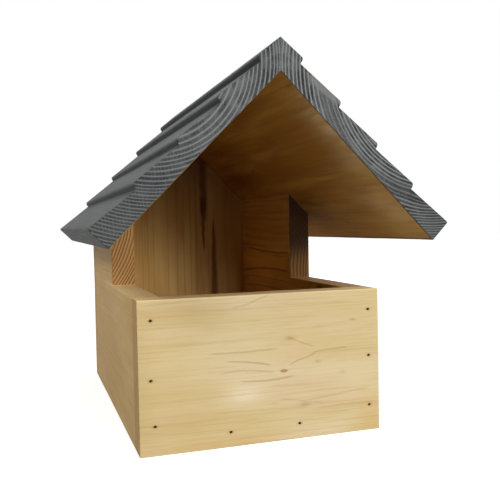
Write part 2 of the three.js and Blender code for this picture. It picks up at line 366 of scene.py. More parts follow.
class Nodes:
    """Short ways to add nodes to a tree.

    A socket or a plain value may go into each. A colour given as a tuple is one from 0 to 255, as seen on a
    screen."""

    def __init__(self, tree):
        self.tree = tree

    def feed(self, socket, value):
        if isinstance(value, bpy.types.NodeSocket):
            self.tree.links.new(value, socket)
        else:
            socket.default_value = value

    def feed_named(self, made, values):
        """Puts values into a node's inputs by the inputs' names."""
        for key, value in values.items():
            self.feed(made.inputs[key], value)
        return made

    def node(self, kind, *values, **settings):
        """A new node with its settings, and with values in its first inputs."""
        made = self.tree.nodes.new(kind)
        for key, value in settings.items():
            setattr(made, key, value)
        for socket, value in zip(made.inputs, values):
            self.feed(socket, value)
        return made

    def math(self, operation, *values):
        return self.node("ShaderNodeMath", *values, operation=operation).outputs[0]

    def add(self, a, b):
        return self.math("ADD", a, b)

    def sub(self, a, b):
        return self.math("SUBTRACT", a, b)

    def mul(self, a, b):
        return self.math("MULTIPLY", a, b)

    def mul_add(self, a, b, c):
        """a times b, plus c."""
        return self.math("MULTIPLY_ADD", a, b, c)

    def vector(self, x=0.0, y=0.0, z=0.0):
        return self.node("ShaderNodeCombineXYZ", x, y, z).outputs[0]

    def dot(self, vector, direction):
        made = self.node("ShaderNodeVectorMath", vector, tuple(direction), operation="DOT_PRODUCT")
        return made.outputs["Value"]

    def length(self, vector):
        return self.node("ShaderNodeVectorMath", vector, operation="LENGTH").outputs["Value"]

    def blob(self, u, v):
        """exp(-(u² + v²)): 1 in the middle, fading out all round."""
        return self.math("EXPONENT", self.mul(self.add(self.mul(u, u), self.mul(v, v)), -1.0))

    def noise(self, vector, scale=1.0, detail=2.0, rough=0.5):
        """Soft noise from 0 to 1 around a half."""
        made = self.node("ShaderNodeTexNoise", vector)
        return self.feed_named(made, {"Scale": scale, "Detail": detail, "Roughness": rough}).outputs[0]

    def white(self, value):
        """A random value from 0 to 1 for each value given."""
        made = self.node("ShaderNodeTexWhiteNoise", noise_dimensions="1D")
        return self.feed_named(made, {"W": value}).outputs["Value"]

    def step(self, value, low, high, most=1.0, least=0.0):
        """A smooth rise from least to most while value goes from low to high."""
        return self.node("ShaderNodeMapRange", value, low, high, least, most,
                         interpolation_type="SMOOTHSTEP").outputs[0]

    def blend(self, kind, share, first, second):
        made = self.node("ShaderNodeMix", share, data_type="RGBA", blend_type=kind)
        for socket, colour in zip((made.inputs[6], made.inputs[7]), (first, second)):
            self.feed(socket, linear(*colour) if isinstance(colour, tuple) else colour)
        return made.outputs[2]

    def mix(self, share, first, second):
        """Goes from the first colour to the second by a share."""
        return self.blend("MIX", share, first, second)

    def tint(self, share, colour, by):
        """Multiplies a colour by another, by a share."""
        return self.blend("MULTIPLY", share, colour, by)

    def ramp(self, value, levels):
        """Grey levels, evenly spaced and joined by straight lines, while value goes from 0 to 1."""
        made = self.node("ShaderNodeValToRGB", value)
        stops = made.color_ramp.elements
        for index in range(1, len(levels) - 1):
            stops.new(index / (len(levels) - 1))
        for stop, level in zip(stops, levels):
            stop.color = (level, level, level, 1.0)
        return made.outputs[0]

    def object_place(self):
        return self.node("ShaderNodeTexCoord").outputs["Object"]

    def place(self):
        """Where a point lies on the object, in millimetres."""
        made = self.node("ShaderNodeVectorMath", self.object_place(), operation="SCALE")
        return self.feed_named(made, {"Scale": 1 / MM}).outputs[0]

    def facing(self, direction):
        """How far the surface faces a direction, from -1 to 1."""
        return self.dot(self.node("ShaderNodeTexCoord").outputs["Normal"], direction)

    def seen(self):
        """1 where the camera, gloss or glass sees the surface itself, and 0 where it only gives light."""
        paths = self.node("ShaderNodeLightPath").outputs
        mirrored = self.math("MAXIMUM", paths["Is Glossy Ray"], paths["Is Transmission Ray"])
        return self.math("MAXIMUM", paths["Is Camera Ray"], mirrored)


class Finish(Nodes):
    """A new material with its shader."""

    def __init__(self, name):
        self.material = bpy.data.materials.new(name)
        self.material.use_nodes = True
        super().__init__(self.material.node_tree)
        self.shader = self.tree.nodes["Principled BSDF"]

    def surface(self, colour, roughness, relief, depth, strength, setting, level):
        """Feeds the shader, with the relief as a bump of a depth, and sets one more of its inputs."""
        bump = self.feed_named(self.node("ShaderNodeBump"),
                               {"Strength": strength, "Distance": depth, "Height": relief})
        self.feed_named(self.shader, {"Base Color": colour, "Roughness": roughness,
                                      "Normal": bump.outputs[0], setting: level})
        return self.material


class Wood:
    """The growth of one board: where a point lies along its grain and which year's ring it is in.

    The rings are circles about a pith line that runs along the grain. Ring age is the distance to the pith,
    bent by noise and by knots, over the width of a year's ring. Where rings lists borders as (distance,
    depth), the age instead goes up by one evenly from each border to the next, and depth says how dark the
    wood is drawn there. Knots are (place, radius, how far they push the rings, how long they are). Crowd, as
    (places, nearest, more), makes the rings beyond the nearest distance narrower by a share that rises to
    more between two places across."""

    def __init__(self, finish, grain, across, through, pith, ring=2.0, wander=2.0, tilt=0.0, knots=(),
                 rings=(), crowd=None):
        self.finish = f = finish
        where = f.place()
        self.along = f.dot(where, grain)
        self.across = f.dot(where, across)
        self.through = f.dot(where, through)
        bend = f.mul(f.sub(self.noise(0.006, 0.022), 0.5), wander * 4)
        u = f.sub(self.across, pith[0])
        v = f.add(f.sub(self.through, pith[1]), f.mul(self.along, tilt))
        distance = f.add(f.length(f.vector(u, v)), bend)
        self.knot = 0.0
        for place, radius, rise, reach in knots:
            gap = f.length(f.vector(f.mul(f.sub(self.along, place[0]), 1 / reach),
                                    f.sub(self.across, place[1])))
            hill = f.math("EXPONENT", f.mul(f.mul(gap, gap), -1 / (radius * 3.2) ** 2))
            distance = f.add(distance, f.mul(hill, rise))
            self.knot = f.math("MAXIMUM", self.knot, f.step(gap, radius * 1.15, radius * 0.7))
        if crowd:
            (start, end), nearest, more = crowd
            share = f.mul(f.step(self.across, start, end), more)
            distance = f.mul_add(f.sub(distance, nearest), share, distance)
        self.distance = distance
        if rings:
            self.age = 0.0
            borders, depths = zip(*rings)
            for start, end in zip(borders, borders[1:]):
                share = f.mul_add(distance, 1 / (end - start), -start / (end - start))
                share.node.use_clamp = True
                self.age = f.add(self.age, share)
            self.depth = f.ramp(f.mul(self.age, 1 / (len(rings) - 1)), depths)
        else:
            uneven = f.noise(f.vector(f.mul(distance, 0.11 / ring)), 1.0, 1.0)
            self.age = f.add(f.mul(distance, 1 / ring), f.mul(f.sub(uneven, 0.5), 3.0))
        self.year = f.math("FLOOR", self.age)
        self.season = f.math("FRACT", self.age)

    def noise(self, along, aside, detail=2.0, rough=0.5, shift=0.0):
        """Noise with so many waves per millimetre along the grain and to its sides."""
        f = self.finish
        return f.noise(f.vector(f.add(f.mul(self.along, along), shift), f.mul(self.across, aside),
                                f.mul(self.through, aside)), 1.0, detail, rough)

    def late(self, sharp):
        """The late wood of each year: a dark line that comes on slowly and ends at once."""
        f = self.finish
        return f.mul(f.step(self.season, 1 - sharp, 0.93), f.step(self.season, 1.0, 0.95))

    def stroke(self, start, end, across, widths):
        """A line or streak along the grain, from start to end, fading out at both.

        Its middle runs on a quadratic Bezier curve between the three across places, bent a little by noise,
        and its half width goes evenly from the first of widths to the second."""
        f = self.finish
        share = f.mul(f.sub(self.along, start), 1 / (end - start))
        low, middle, high = across
        centre = f.mul_add(f.mul(share, share), low - 2 * middle + high,
                           f.mul_add(share, 2 * (middle - low), low))
        ripple = f.noise(f.vector(f.mul(self.along, 0.12), low, high), 1.0, 2.0)
        centre = f.mul_add(f.sub(ripple, 0.5), 1.6, centre)
        half = f.math("MAXIMUM", f.mul_add(share, widths[1] - widths[0], widths[0]), 0.1)
        gap = f.math("DIVIDE", f.math("ABSOLUTE", f.sub(self.across, centre)), half)
        ends = f.mul(f.step(share, 0.0, 0.16), f.step(share, 1.0, 0.84))
        return f.mul(f.step(gap, 1.0, 0.25), ends)

    def spotted(self, colour, spots, grainy=1.0):
        """A colour with soft spots on it, each (middle, reach, colour, share), along and across the grain."""
        f = self.finish
        for middle, reach, shade, share in spots:
            spot = f.blob(f.mul(f.sub(self.along, middle[0]), 1 / reach[0]),
                          f.mul(f.sub(self.across, middle[1]), 1 / reach[1]))
            colour = f.mix(f.mul(f.mul(spot, share), grainy), colour, shade)
        return colour


def pine(name, wood, pale, warm, late, blush, line=0.45, end_pale=None, end_dark=None, ringed=0.9, pink=0.7,
         knot_shade=(128, 92, 52), strokes=(), patches=(), end_patches=()):
    """Planed bare pine: pale early wood, thin brown late wood, drawn-out fibres, warmer and pinker clouds.

    On faces square to the grain the same rings show stronger and darker, as end grain does. Strokes are
    (start, end, across, widths, colour, share), and patches on the faces along the grain and end_patches on
    the others are (middle, reach, colour, share)."""
    f = Finish(name)
    w = Wood(f, **wood)
    colour = f.mix(f.step(w.noise(0.008, 0.03), 0.36, 0.64), pale, warm)
    colour = f.mix(f.step(w.noise(0.011, 0.05, shift=40.0), 0.5, 0.7, pink), colour, blush)
    vary = f.mul_add(f.white(w.year), 0.75, 0.25)
    broken = f.step(w.noise(0.02, 0.12, shift=90.0), 0.3, 0.6, 1.0, 0.35)
    lines = f.mul(f.mul(w.late(0.55), vary), f.mul(broken, line))
    colour = w.spotted(f.mix(lines, colour, late), patches)
    for start, finish, across, widths, shade, share in strokes:
        colour = f.mix(f.mul(w.stroke(start, finish, across, widths), share), colour, shade)
    fibre = w.noise(0.012, 0.9, 3.0, 0.6)
    colour = f.tint(f.step(fibre, 0.45, 0.8, 0.5), colour, (226, 212, 190))
    colour = f.tint(f.step(w.noise(0.045, 0.4, 3.0, 0.6), 0.5, 0.75, 0.3), colour, (236, 224, 204))
    end_rings = f.mul(w.late(0.8), f.mul_add(vary, 0.4, ringed - 0.35))
    end_colour = f.mix(end_rings, end_pale or warm, end_dark or late)
    end_colour = f.tint(f.step(w.noise(0.3, 2.2), 0.4, 0.75, 0.45), end_colour, (196, 176, 146))
    end_colour = w.spotted(end_colour, end_patches)
    on_end = f.step(f.math("ABSOLUTE", f.facing(wood["grain"])), 0.55, 0.85)
    colour = f.mix(on_end, colour, end_colour)
    colour = f.mix(f.mul(w.knot, 0.75), colour, knot_shade)
    relief = f.add(f.mul(fibre, 0.6), f.mul(w.late(0.5), 0.3))
    return f.surface(colour, f.mul_add(fibre, 0.16, 0.56), relief, 0.09 * MM, 0.5,
                     "Specular IOR Level", 0.22)


def sawn_end(f, w, dotted, pale, line, saw, fade, fine=None, smudge=None):
    """The colour and relief of a stained roof board's sawn ends, where the rings show hard.

    Line says how far from a year's dark border, in half years, the pale wood starts and is full. Saw gives
    the marks that the saw left in the dark wood: the way across them, their spacing, their strength, and
    where they are few and many. Fade gives where the ends turn dull, where they are all dull and how dark
    that is. Between the distances of fine the ends are all fine marks. Smudge is a place under a course
    where the stain has run, as (middle, reach). Places are down the slope and out from the underside."""
    down = f.add(w.across, ridge_share)
    far = f.step(down, fade[0], fade[1])
    from_border = f.sub(1.0, f.math("ABSOLUTE", f.mul_add(w.season, 2.0, -1.0)))
    depth = f.mul(w.depth, f.step(w.noise(0.1, 0.13), 0.3, 0.6, 1.0, 0.6))
    depth = f.mul_add(f.sub(1.0, depth), f.mul(far, 0.5), depth)
    wave = f.sub(1.0, f.mul(depth, f.step(from_border, line[1], line[0])))
    speck = w.noise(0.2, 1.1, 3.0, 0.7)
    way, spacing, filled, (few, many) = saw
    turns = 2 * math.pi / spacing
    stroke = f.add(f.mul(w.across, way[0] * turns), f.mul(w.through, way[1] * turns))
    stroke = f.add(f.add(stroke, f.mul(speck, 2.2)), f.mul(w.noise(0.1, 0.35, 1.0), 7.0))
    stroke = f.step(f.math("SINE", stroke), 0.0, 0.95)
    stroke = f.mul(stroke, f.step(w.noise(0.1, 0.16, 1.0), 0.36, 0.62, 1.0, 0.2))
    stroke = f.mul(stroke, f.mul_add(f.white(f.add(w.year, 0.37)), 0.7, 0.3))
    stroke = f.mul(stroke, f.step(down, few, many, filled, 0.3 * filled))
    wave = f.add(wave, f.mul(stroke, f.sub(1.0, wave)))
    plain = 0.0
    if fine:
        plain = f.mul(f.step(w.distance, fine[0] - 1, fine[0] + 1),
                      f.step(w.distance, fine[1] + 1, fine[1] - 1))
    wave = f.add(wave, f.mul(f.sub(speck, 0.5), f.mul_add(plain, dotted, dotted)))
    wave = f.mul_add(plain, -0.42, wave)
    dull = f.mul(far, 1 - fade[2])
    wave = f.add(f.mul(wave, f.sub(1.0, dull)), f.mul(dull, 0.12))
    colour = f.mix(wave, (22, 23, 25), pale)
    if smudge:
        (over, out), reach = smudge
        u = f.sub(down, over)
        v = f.sub(f.sub(w.through, out + ridge_share), f.mul(u, course_rise))
        blur = f.blob(f.mul(u, 1 / reach[0]), f.mul(v, 1 / reach[1]))
        colour = f.mix(f.step(blur, 0.2, 0.7, 0.75), colour, (126, 125, 122))
    rough = w.noise(0.5, 3.0)
    colour = f.tint(f.step(rough, 0.42, 0.72, 0.5), colour, (176, 178, 182))
    return colour, f.add(f.mul(wave, 0.8), f.mul(rough, 0.5))


def milled_face(f, w, fibre, slope):
    """The colour of the stained courses, where the rings show softly.

    Each step is darker at its foot, under the nose above, partly from stain that collects there and partly as
    painted shade. Painted shade also darkens each course towards its nose, and the risers."""
    colour = f.mix(f.step(w.noise(0.01, 0.06), 0.3, 0.7), (76, 77, 77), (88, 89, 88))
    colour = f.tint(f.step(fibre, 0.42, 0.75, 0.5), colour, (196, 196, 198))
    colour = f.mix(f.mul(w.late(0.5), 0.16), colour, (110, 112, 114))
    past_nose = f.math("FRACT", f.mul(f.sub(w.across, top_course / MM - ridge_share), MM / course))
    eave_face = f.step(w.across, eave_across - 1.0, eave_across - 0.3)
    above = f.sub(1.0, eave_face)
    # Collected stain and painted shade: darker just below each nose, where the nose's shadow falls
    pooled_stain_and_shade = f.mul(f.step(past_nose, 0.24, 0.0, 0.7), above)
    # Painted shade: darker on each nose's rounding, which turns away from the light
    painted_nose_shade = f.mul(f.step(past_nose, 0.84, 0.99, 0.45), above)
    colour = f.tint(pooled_stain_and_shade, colour, (120, 121, 123))
    colour = f.tint(painted_nose_shade, colour, (150, 151, 153))
    # Painted shade: faces square to the slope, such as the risers, drawn darker
    painted_riser_shade = f.step(f.math("ABSOLUTE", f.facing(slope)), 0.45, 0.95, 0.85)
    colour = f.tint(painted_riser_shade, colour, (166, 166, 168))
    return f.tint(f.mul(eave_face, f.step(fibre, 0.3, 0.58)), colour, (156, 156, 154))


def bare_underside(f, w, fibre, marks, edge_stain_and_shade):
    """The colour of bare honey brown pine, darker along its front and eave arrises by a share given last,
    partly stain run over them and partly painted shade.

    Marks are (middle, reach, colour, share), their middles along the board and down the slope. Some of them
    are painted light and painted shade."""
    colour = f.mix(f.step(w.noise(0.006, 0.05, shift=20.0), 0.35, 0.65), (170, 120, 40), (198, 152, 64))
    colour = f.mix(f.mul(f.mul(w.late(0.5), f.white(w.year)), 0.28), colour, (140, 92, 38))
    colour = f.mix(f.step(w.noise(0.02, 0.09, shift=55.0), 0.42, 0.68, 0.45), colour, (166, 108, 50))
    colour = f.tint(f.step(fibre, 0.42, 0.8, 0.5), colour, (214, 190, 158))
    grainy = f.step(w.noise(0.016, 0.11, shift=120.0), 0.36, 0.64, 1.1, 0.5)
    spots = [((along, down - ridge_share), *look) for (along, down), *look in marks]
    colour = w.spotted(colour, spots, grainy)
    # A dark line along the front and eave arrises: partly stain run over them, partly painted shade
    front = f.step(w.along, roof_front / MM + 1.6, roof_front / MM + 0.6)
    stained_and_shaded_edge = f.math("MAXIMUM", front, f.step(w.across, eave_across - 2.6, eave_across - 1.2))
    return f.mix(f.mul(stained_and_shaded_edge, edge_stain_and_shade), colour, (52, 42, 26))


def stained(name, wood, end, marks=(), bare_from=0.72, edge_stain_and_shade=0.0):
    """Pine under a matt grey stain: the early wood drinks it and goes dark, the late wood stays pale.

    The underside is bare, from where the surface faces down from the roof by bare_from."""
    f = Finish(name)
    w = Wood(f, **wood)
    fibre = w.noise(0.015, 0.8, 3.0, 0.6)
    on_end = f.step(f.math("ABSOLUTE", f.facing(wood["grain"])), 0.6, 0.9)
    end_colour, end_relief = sawn_end(f, w, **end)
    stain = f.mix(on_end, milled_face(f, w, fibre, wood["across"]), end_colour)
    under = [-part for part in wood["through"]]
    bare = f.step(f.facing(under), bare_from, bare_from + 0.18)
    colour = f.mix(bare, stain, bare_underside(f, w, fibre, marks, edge_stain_and_shade))
    relief = f.add(f.mul(fibre, 0.6), f.mul(end_relief, on_end))
    return f.surface(colour, f.mul_add(fibre, 0.14, 0.66), relief, 0.14 * MM, 0.6,
                     "Specular IOR Level", 0.25)


def roof_wood(sign, pith, wander, rings, crowd=None):
    """The growth of a roof board, its pith given down the slope and out from the underside's ridge."""
    return dict(grain=BACK, across=(sign * slope_along[0], 0, slope_along[1]),
                through=(sign * slope_out[0], 0, slope_out[1]),
                pith=(pith[0] - ridge_share, pith[1] + ridge_share), wander=wander, rings=rings, crowd=crowd)


def metal(name, colour, dull, rough, spangle, scratch):
    """Plated or bare steel: a clouded tone, finer specks and small scratches in the roughness."""
    f = Finish(name)
    where = f.place()
    clouded = f.mix(f.step(f.noise(where, spangle, 3.0, 0.6), 0.35, 0.65), colour, dull)
    fine = f.noise(where, scratch, 4.0, 0.7)
    return f.surface(clouded, f.mul_add(fine, 0.25, rough), fine, 0.02 * MM, 0.5,
                     "Metallic", 1.0)


# Lines and streaks: from, to, the places across at both ends and between, half widths, and how strong

panel_lines = [
    (-42, 12, (63, 61.5, 63), (0.7, 1.0), 0.4), (-30, 6, (57, 56, 51.5), (0.7, 1.0), 0.48),
    (-34, 8, (48.5, 52, 46.5), (0.7, 1.0), 0.32), (-20, 22, (43.5, 40.5, 43.5), (0.7, 1.0), 0.44),
    (16, 38, (51, 55, 58), (0.7, 1.0), 0.48), (32, 62, (58, 59.5, 60.5), (0.7, 1.0), 0.44),
    (14, 36, (71, 66, 62.5), (0.7, 1.0), 0.36), (-24, 5, (91, 94, 100), (0.7, 1.0), 0.32),
    (20, 80, (25, 27.5, 31), (0.7, 1.0), 0.28), (-40, 30, (24, 22.5, 21), (0.7, 1.0), 0.2),
    (34, 84, (19, 21, 20), (0.7, 1.0), 0.24), (8, 44, (29, 26, 22), (0.7, 1.0), 0.2),
    (-84, -40, (96, 97, 99), (0.7, 1.0), 0.2),
]
inner_lines = [
    (-20, 125, (104, 108, 98), (1.5, 1.6), 0.6), (-20, 110, (121, 119, 124), (1.6, 1.2), 0.6),
    (-20, 90, (118.5, 115, 124), (0.8, 0.8), 0.35), (40, 125, (125, 126, 127), (0.8, 1.2), 0.4),
    (-20, 120, (95, 97, 94), (0.8, 0.8), 0.35), (-20, 120, (86, 90, 84), (1.2, 1.2), 0.4),
    (-20, 120, (134, 133, 135), (0.6, 0.6), 0.2), (-20, 100, (156.5, 157, 157), (0.5, 0.5), 0.35),
    (20, 125, (172, 172, 173), (1.2, 1.6), 0.5),
]
inner_pale_lines = [
    (-16, 60, (147.5, 148, 148), (0.35, 0.3), 0.5), (-16, 50, (153.5, 154, 153.5), (0.3, 0.3), 0.4),
]
back_streaks = [
    (116, 180, (24.7, 24, 25), (0.5, 5.6), 0.8), (148, 262, (25, 24.6, 25), (5.4, 6.4), 0.8),
    (20, 164, (35.4, 34.6, 35.4), (9.5, 0.6), 0.8),
]
back_lines = [
    (60, 225, (29.5, 28.9, 29.5), (1.2, 0.8), 0.22), (60, 215, (16.5, 17.1, 16.5), (2.4, 1.6), 0.3),
    (60, 205, (10.5, 11.3, 10.5), (1.1, 1.1), 0.24), (60, 200, (4, 3.4, 4), (1.5, 1.0), 0.2),
    (60, 195, (-3.5, -2.7, -3.5), (1.0, 1.2), 0.2), (60, 185, (-13, -12.5, -13), (1.6, 1.0), 0.14),
    (60, 180, (-27, -27.7, -27), (1.1, 1.1), 0.18), (60, 175, (-33.5, -33.1, -33.5), (1.0, 0.8), 0.16),
    (60, 170, (-39, -38.5, -39), (1.2, 0.8), 0.14), (60, 160, (-50, -49.5, -50), (1.4, 0.9), 0.14),
]

# The front panel's brad heads, across and up

panel_brads = [(place[0] / MM, place[2] / MM) for name, (place, way) in brads.items()
               if name.startswith("front_brad")]

# The dark borders between years on the roof boards' ends: distance from the pith, and how dark

right_rings = [
    (56, 0.7), (58.4, 0.8), (60.4, 0.8), (62.6, 1.0), (64.5, 0.8), (66.7, 1.0), (68.9, 0.85), (71.6, 1.0),
    (73.5, 0.75), (76.4, 0.3), (79.6, 0.3), (81.4, 0.25), (84.2, 0.8), (87.0, 1.0), (89.6, 1.0), (92.1, 1.0),
    (94.9, 0.95), (96.9, 0.8), (99.8, 0.95), (102.1, 0.8), (104.2, 0.8), (106.4, 0.7), (109, 0.8),
    (110.9, 0.7), (113.2, 0.7), (115.3, 0.7),
]
left_rings = [
    (43, 0.8), (45.6, 0.85), (47.9, 0.85), (51.6, 0.9), (55.0, 0.75), (58.1, 0.8), (60.6, 0.8), (63.1, 0.8),
    (65.5, 0.85), (68.4, 0.9), (71.1, 1.0), (73.9, 0.95), (76.0, 0.9), (77.8, 0.8), (79.6, 0.8), (82.0, 0.6),
    (83.7, 0.9), (85.7, 0.8), (87.7, 0.8), (89.9, 0.7), (91.7, 0.75), (93.7, 0.8), (95.9, 0.75), (97.9, 0.75),
    (99.7, 0.7), (102.2, 0.7), (104.2, 0.7), (106.4, 0.7), (108.6, 0.7), (110.6, 0.7), (112.6, 0.7),
]


def drawn(lines, colour):
    """Strokes of one colour from rows of (start, end, across, widths, share)."""
    return [(*shape, colour, share) for *shape, share in lines]


panel_pine = pine(
    "panel_pine",
    dict(grain=RIGHT, across=UP, through=BACK, pith=(48, -62), ring=2.6, wander=1.6, tilt=0.03,
         knots=[((13.2, 47.4), 1.25, 6.0, 2.3)]),
    pale=(223, 204, 162), warm=(213, 190, 138), late=(178, 147, 95), blush=(220, 196, 162),
    line=0.14, end_pale=(198, 163, 98), end_dark=(150, 112, 56), pink=0.3, knot_shade=(158, 116, 58),
    strokes=drawn(panel_lines, (170, 136, 80)),
    # The first patch is a painted highlight, a pale glare on the front face
    patches=[((-14, 34), (14, 6), (240, 226, 198), 0.7), ((15, 33), (16, 5), (222, 190, 158), 0.4),
             ((22, 61), (9, 5), (222, 188, 150), 0.45), ((43, 25), (24, 5), (222, 190, 160), 0.4),
             ((18, 69), (4, 1.6), (176, 140, 84), 0.5), ((65, 79), (2.4, 0.7), (150, 118, 70), 0.5),
             ((38, 52), (2.2, 1.0), (160, 126, 84), 0.45), ((57, 43), (2.5, 1.6), (184, 152, 104), 0.4),
             ((28, 23), (3.5, 1.6), (160, 130, 92), 0.4), ((-62, 90), (34, 10), (194, 160, 100), 0.45),
             ((-52, 20), (26, 8), (200, 164, 108), 0.35), ((-84, 50), (9, 60), (200, 168, 104), 0.45),
             ((-40, 3), (60, 4), (206, 170, 100), 0.45), ((78, 10), (12, 16), (212, 172, 100), 0.4),
             ((45, 40), (30, 10), (220, 194, 158), 0.3), ((-8, 57), (16, 5), (226, 206, 164), 0.3),
             # Painted light: the second patch on the line below lightens the panel's top face, under the roof
             ((-62, 55), (32, 60), (208, 180, 122), 0.35), ((0, 100.3), (400, 0.9), (252, 226, 166), 0.9),
             *[(middle, (1.7, 0.8), (112, 76, 34), 0.6) for middle in panel_brads]])
left_pine = pine(
    "left_wall_pine",
    dict(grain=BACK, across=UP, through=RIGHT, pith=(160, -156), ring=2.3, wander=1.5),
    pale=(219, 184, 117), warm=(208, 170, 103), late=(172, 126, 66), blush=(209, 167, 112),
    end_pale=(178, 138, 80), end_dark=(108, 64, 20), line=0.3, ringed=1.1,
    # Painted light: a pale band along the ledge's top, which the lamps reach too little under the roof
    patches=[((-66, 100.2), (90, 1.0), (240, 212, 158), 0.85)])
right_pine = pine(
    "right_wall_pine",
    dict(grain=BACK, across=UP, through=RIGHT, pith=(104, 150), ring=2.8, wander=2.2,
         knots=[((-76, 96.6), 1.9, 5.0, 3.6)]),
    pale=(208, 168, 98), warm=(198, 152, 80), late=(140, 88, 34), blush=(198, 148, 86),
    end_pale=(142, 99, 40), end_dark=(66, 34, 4), line=0.4, ringed=1.1,
    # End patches: painted shade, the tall part's front edge darker towards its top under the roof
    end_patches=[((-14, 168), (60, 34), (44, 15, 0), 0.95), ((-14, 131), (60, 11), (50, 24, 0), 0.8)],
    # Patches: the two dark ones along the ledge's top are painted shade under the roof, and the broad pale
    # one is painted light on the wall's faces a little above the ledge's height
    patches=[((-80, 101), (26, 0.8), (112, 88, 58), 0.7), ((-35, 101), (22, 0.8), (110, 84, 54), 0.5),
             ((50, 112), (90, 16), (250, 200, 106), 0.6)],
    strokes=drawn(inner_lines, (124, 66, 20)) + drawn(inner_pale_lines, (228, 188, 120)))
back_pine = pine(
    "back_panel_pine",
    dict(grain=UP, across=RIGHT, through=BACK, pith=(-30, 210), ring=6.0, wander=3.0),
    pale=(206, 170, 104), warm=(194, 152, 84), late=(150, 98, 42), blush=(200, 158, 98), line=0.25,
    strokes=drawn(back_lines, (116, 62, 20)) + drawn(back_streaks, (92, 34, 6)),
    # Painted shade: both patches darken the panel towards its top, under the roof
    patches=[((190, 52), (44, 18), (132, 70, 22), 0.6), ((225, 10), (40, 34), (84, 32, 2), 0.85)])
floor_pine = pine(
    "floor_pine",
    dict(grain=BACK, across=RIGHT, through=UP, pith=(20, -70), ring=3.2, wander=2.0),
    pale=(214, 188, 140), warm=(204, 174, 122), late=(168, 126, 76), blush=(210, 178, 138))
right_stain = stained(
    "right_roof_stain", roof_wood(1, (74, 76), 0.25, right_rings,
                                  ((112 - ridge_share, 134 - ridge_share), 88, 0.4)),
    end=dict(dotted=0.4, pale=(131, 132, 132), line=(0.42, 0.9), saw=((0.7, 0.7), 1.8, 0.34, (60, 26)),
             fade=(76, 140, 0.7), fine=(74.5, 82.5), smudge=((26, 12.6), (15, 2.6))),
    # The two pale marks near the front are painted light, and the broad dark ones beside the wall's top and
    # towards the back are painted shade; the small and thin ones are specks and streaks in the wood
    marks=[((-164, 118), (44, 36), (232, 199, 142), 0.58), ((-172, 50), (24, 34), (236, 206, 156), 0.85),
           ((-30, 112), (34, 20), (104, 56, 14), 0.75), ((-166, 11), (6, 1.1), (64, 36, 10), 0.85),
           ((-75, 130), (3, 1.3), (84, 46, 16), 0.8), ((16, 64), (5, 1.2), (74, 34, 10), 0.7),
           ((-110, 82), (26, 1.2), (134, 92, 36), 0.35), ((70, 68), (60, 44), (112, 50, 8), 0.66)],
    edge_stain_and_shade=0.8)
left_stain = stained(
    "left_roof_stain", roof_wood(-1, (52, 60), 0.35, left_rings),
    end=dict(dotted=0.5, pale=(127, 128, 128), line=(0.42, 0.95), saw=((0.75, 0.65), 2.0, 0.45, (40, 78)),
             fade=(40, 124, 0.64)),
    bare_from=0.45)
dark_steel = metal("brad_steel", (78, 58, 40), (52, 38, 26), 0.55, 1.2, 6.0)
hanger_zinc = metal("hanger_zinc", (188, 192, 196), (164, 168, 172), 0.28, 0.35, 2.5)
screw_zinc = metal("screw_zinc", (184, 186, 188), (150, 152, 156), 0.25, 0.8, 5.0)


# Boards

def flat_board(name, box, lay, radius=edge_ease, **settings):
    """A plain board that fills a box, its outline's corners rounded by a radius."""
    low, high = np.array(box)[:, np.argsort(lay)]
    corners = eased([low[:2], (high[0], low[1]), high[:2], (low[0], high[1])], radius)
    return board(name, corners, low[2], high[2], lay, **settings)


def under_roof(x):
    """Height of the roof's underside at a distance from the middle, less the joint."""
    return ridge_height - abs(x) * math.tan(pitch) - wall_joint


panel = flat_board("front_board", (panel_low, panel_high), lay_x)
carve(panel, brad_holes("front_brad"))
finished(panel, panel_pine, "pine_front", "front_panel")

base = flat_board("floor_board", (floor_low, floor_high), lay_y)
carve(base, brad_holes("front_brad_floor", "back_brad_floor", "side_brad"))
finished(base, floor_pine, "pine_floor", "floor")


def side_board(side, sign, material):
    """A side wall: low behind the front panel, tall under the roof, its top cut to the roof's slope.

    The outline in Y and Z is carried across the wall's thickness, and a wedge takes the top off."""
    front, back = panel_high.y + wall_joint, back_low.y - wall_joint
    tall_front = panel_low.y + opening_depth
    corners = [(front, 0, edge_ease), (back, 0, edge_ease), (back, ridge_height, edge_ease),
               (tall_front, ridge_height, edge_ease), (tall_front, front_height, step_ease),
               (front, front_height, edge_ease)]
    near, far = sorted((sign * inner_half, sign * half_width))
    made = board(f"{side}_wall_board", corners, near, far, lay_x, stations=6)
    inner, outer = sign * (inner_half - overrun), sign * (half_width + overrun)
    wedge = eased([(inner, under_roof(inner)), (outer, under_roof(outer)),
                   (outer, ridge_height + overrun), (inner, ridge_height + overrun)])
    grid, along = carried(filleted(wedge), front - overrun, back + overrun, edge_ease, 2)
    carve(made, [skin(grid, along, lay_y)])
    carve(made, brad_holes(*(f"{kind}_brad_{side}" for kind in ("front", "back", "side", "roof"))))
    finished(made, material, "pine_side", f"{side}_side_wall")


side_board("left", -1, left_pine)
side_board("right", 1, right_pine)


